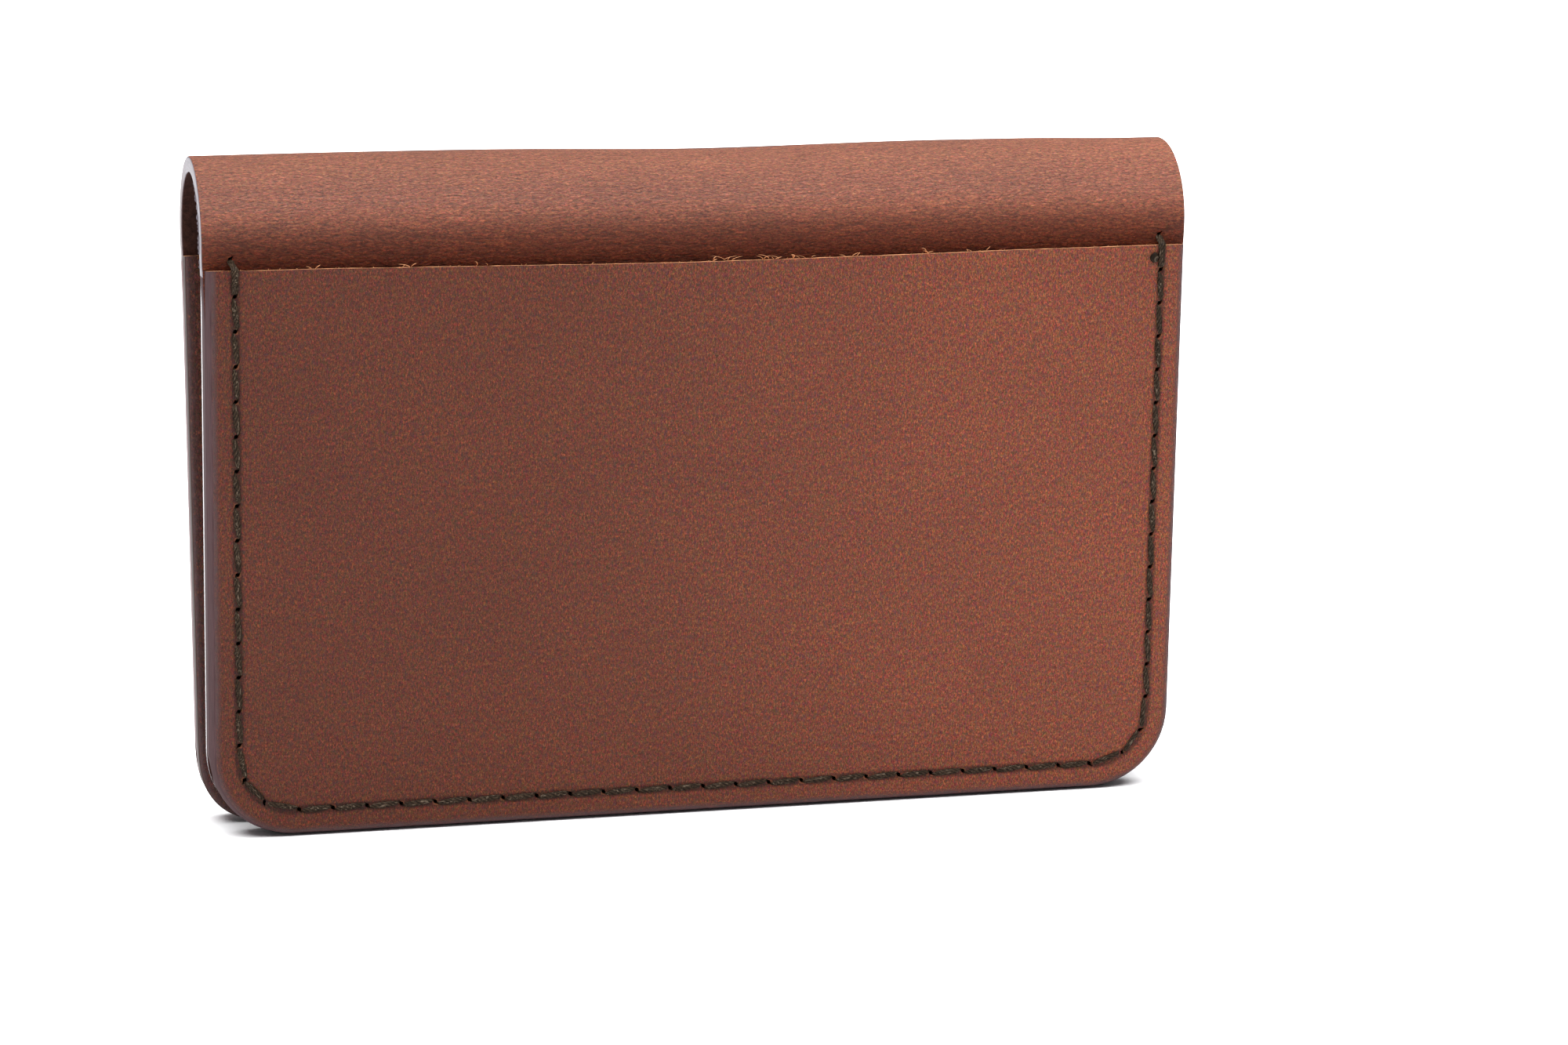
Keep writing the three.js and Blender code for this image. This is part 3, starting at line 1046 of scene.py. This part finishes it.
def waxed_thread():
    """Dark olive-brown waxed thread with a fine twist and paler flecks."""
    material, tree, shader = new_material("waxed_thread")
    w = Wires(tree)
    uv = w.node("ShaderNodeUVMap")
    mapping = w.node("ShaderNodeMapping")
    mapping.inputs["Rotation"].default_value = (0, 0, math.radians(52))
    w.join(uv.outputs["UV"], mapping.inputs["Vector"])
    twist = w.node("ShaderNodeTexWave", in_Scale=2.6, in_Distortion=0.8, in_Detail=2.0)
    w.join(mapping.outputs["Vector"], twist.inputs["Vector"])
    hairs = w.node("ShaderNodeTexNoise", in_Scale=2600.0, in_Detail=3.0)
    place = w.node("ShaderNodeTexCoord")
    w.join(place.outputs["Object"], hairs.inputs["Vector"])
    dark, light = (0.011, 0.0070, 0.0044), (0.026, 0.0165, 0.0100)
    colour = w.ramp(twist.outputs["Fac"], (0.1, dark), (0.8, light))
    uneven = w.ramp(hairs.outputs["Fac"], (0.3, grey(0.6)), (0.7, grey(1.5)))
    colour = w.blend(colour, uneven, "MULTIPLY")
    along = w.node("ShaderNodeMapping")
    along.inputs["Scale"].default_value = (9.0, 3.2, 1.0)
    w.join(uv.outputs["UV"], along.inputs["Vector"])
    strands = w.node("ShaderNodeTexNoise", in_Scale=1.0, in_Detail=5.0, in_Roughness=0.7)
    strands.noise_dimensions = "4D"
    w.join(along.outputs["Vector"], strands.inputs["Vector"])
    w.join(stitch_seed(w), strands.inputs["W"])
    # the paler flecks are partly pale strands of the thread and partly painted glints
    fleck_and_glint = w.range(strands.outputs["Fac"], 0.55, 0.63, 0.0, 0.75)
    colour = w.blend(colour, (0.150, 0.112, 0.080), "MIX", fleck_and_glint)
    w.join(colour, shader.inputs["Base Color"])
    shader.inputs["Roughness"].default_value = 0.55
    shader.inputs["Specular IOR Level"].default_value = 0.05
    w.join(w.bump(twist.outputs["Fac"], 0.6, 0.00009), shader.inputs["Normal"])
    return material


# ------------------------------------------------------------------ build

OUTER_LEATHER = pocket_leather("outer_pocket_leather")
INNER_LEATHER = pocket_leather("inner_pocket_leather", INNER_PAINTED_SHADE)
COVER_LEATHER = cover_leather("cover_leather")
FLESH_SIDE = flesh_side()
EDGE = burnished_edge("burnished_edge", (0.058, 0.032, 0.034), gloss=0.02, rough=0.6)
# painted light: the rear half's burnished edge is a lighter copy of the front's
REAR_EDGE_PAINTED_LIGHT = burnished_edge("rear_edge_painted_light", (0.145, 0.092, 0.092))
# painted shade: the rear inner pocket's edge, painted dark for the shade in the gap
EDGE_PAINTED_SHADE = burnished_edge("dark_edge_painted_shade", (0.034, 0.017, 0.014))
# the fold's ends, with their painted reflection
FOLD_ENDS_PAINTED_LIGHT = painted_light_fold_ends()
WAXED_ARRIS_PAINTED_HIGHLIGHT = waxed_arris_painted_highlight()
RAW_CUT = raw_cut()
THREAD_FINISH = waxed_thread()

STEP_UP = 0.8 * END_STITCH_RISE  # over this height an end stitch crosses from pocket to cover


def make_half(side):
    """One half of the holder: two pockets, its half of the cover and its seam."""
    body = f"{side}_half"
    # the rear half's edges take the lighter copy: painted light
    edge = EDGE if side == "front" else REAR_EDGE_PAINTED_LIGHT
    outer_stack = [OUTER_LEATHER, FLESH_SIDE, edge, RAW_CUT]
    # front inner edges carry the painted highlight, rear inner edges the painted shade
    inner_edge = WAXED_ARRIS_PAINTED_HIGHLIGHT if side == "front" else EDGE_PAINTED_SHADE
    inner_stack = [INNER_LEATHER, FLESH_SIDE, inner_edge, RAW_CUT]
    outer, outer_holes, outer_place, outer_lie = pocket(
        f"{side}_outer_pocket_leather", side, 1, OUTER_MOUTH, OUTER_FACE,
        COVER_FACE + GLUE_LINE, OUTER_ARRIS, OUTER_SEED[side], OUTER_BOW, outer_stack,
    )
    inner, inner_holes, inner_place, inner_lie = pocket(
        f"{side}_inner_pocket_leather", side, -1, INNER_MOUTH, INNER_FACE,
        COVER_BACK - GLUE_LINE, INNER_ARRIS, INNER_SEED[side], INNER_BOW, inner_stack,
    )
    cover, cover_outer, cover_inner, cover_place, cover_lie = cover_half(
        side, [COVER_LEATHER, FLESH_SIDE, edge, FOLD_ENDS_PAINTED_LIGHT]
    )
    for piece, node, slot in (
        (outer, f"{side}_outer_pocket", "outer_pocket_leather"),
        (inner, f"{side}_inner_pocket", "inner_pocket_leather"),
    ):
        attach(piece, body)
        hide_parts(node)
    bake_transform(cover)
    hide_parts(f"cover_{side}_panel", *(["cover_spine"] if side == "front" else []))

    def outer_surface(x, up, out):
        """Where outer stitches lie: on the pocket, and on the cover above its mouth."""
        inset = inset_of(x, up)
        on_pocket = outer_place(x, up, out + outer_lie(x, up, inset))
        run = up / math.cos(LEAN)
        on_cover = cover_place(x, run, out + cover_lie(x, run, inset))
        return on_pocket.lerp(on_cover, smooth((up - OUTER_MOUTH) / STEP_UP))

    def inner_surface(x, up, out):
        """Where inner stitches lie: the same on the side of the gap."""
        inset = inset_of(x, up)
        on_pocket = inner_place(x, up, out + inner_lie(x, up, inset))
        on_cover = cover_place(x, up / math.cos(LEAN), -COVER_THICKNESS - out)
        return on_pocket.lerp(on_cover, smooth((up - INNER_MOUTH) / STEP_UP))

    outer_run = [cover_outer[0]] + outer_holes + [cover_outer[-1]]
    lefts = [h for h in cover_inner if h[0].x < 0]
    rights = [h for h in cover_inner if h[0].x > 0]
    inner_run = lefts + inner_holes + rights
    thread = sew(
        f"{side}_saddle_stitching",
        [(outer_run, outer_surface, True), (inner_run, inner_surface, False)],
        [THREAD_FINISH],
    )
    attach(thread, body)
    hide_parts(f"{side}_stitch_thread")


make_half("front")
make_half("rear")

# ------------------------------------------------------------------ camera, floor and light


FLOOR_HALF = 6.0
CAMERA_TURN = (15.04, 9.63, 0.09)  # degrees to the right, down and clockwise
CAMERA_AIM = (9.43, -3.09, 29.6)  # millimetres
CAMERA_AWAY = 479 * MM
CAMERA_LENS = 105.95
SUN_STRENGTH = 8.4
SUN_WIDTH = math.radians(76)  # a wide, soft source overhead
ROOM_STRENGTH = 0.28


def floor():
    bm = bmesh.new()
    bmesh.ops.create_grid(bm, x_segments=1, y_segments=1, size=FLOOR_HALF)
    material, _, shader = new_material("pale_floor")
    shader.inputs["Base Color"].default_value = (0.92, 0.92, 0.93, 1)
    shader.inputs["Roughness"].default_value = 0.9
    shader.inputs["Specular IOR Level"].default_value = 0.0
    piece = make_piece("floor", bm, [material])


def camera():
    yaw, pitch, roll = (math.radians(degrees) for degrees in CAMERA_TURN)
    ahead = Vector((math.sin(yaw) * math.cos(pitch), math.cos(yaw) * math.cos(pitch), -math.sin(pitch)))
    right = Vector((math.cos(yaw), -math.sin(yaw), 0))
    up = right.cross(ahead)
    right, up = (
        math.cos(roll) * right + math.sin(roll) * up,
        math.cos(roll) * up - math.sin(roll) * right,
    )
    aim = Vector(CAMERA_AIM) * MM
    data = bpy.data.cameras.new("camera")
    data.lens = CAMERA_LENS
    data.sensor_width = 36
    data.clip_start, data.clip_end = 0.02, 20
    eye = bpy.data.objects.new("camera", data)
    turned = Matrix((right, up, -ahead)).transposed()
    eye.matrix_world = Matrix.Translation(aim - ahead * CAMERA_AWAY) @ turned.to_4x4()
    bpy.context.scene.collection.objects.link(eye)
    bpy.context.scene.camera = eye


def lamp(name, kind, energy, place, aim, **settings):
    data = bpy.data.lights.new(name, kind)
    data.energy = energy
    for key, value in settings.items():
        setattr(data, key, value)
    made = bpy.data.objects.new(name, data)
    made.location = place
    made.rotation_euler = (Vector(aim) - Vector(place)).to_track_quat("-Z", "Y").to_euler()
    bpy.context.scene.collection.objects.link(made)


def studio():
    """A pale room with one wide sun a little in front of overhead."""
    world = bpy.data.worlds.new("white_room")
    world.use_nodes = True
    back = world.node_tree.nodes["Background"]
    back.inputs["Color"].default_value = (0.96, 0.98, 1.0, 1)
    back.inputs["Strength"].default_value = ROOM_STRENGTH
    bpy.context.scene.world = world
    lamp("overhead", "SUN", SUN_STRENGTH, (0, -0.085, 0.6), (0, 0, 0), angle=SUN_WIDTH)
    bpy.context.scene.view_settings.view_transform = "Standard"
    bpy.context.scene.view_settings.look = "None"


floor()
camera()
studio()
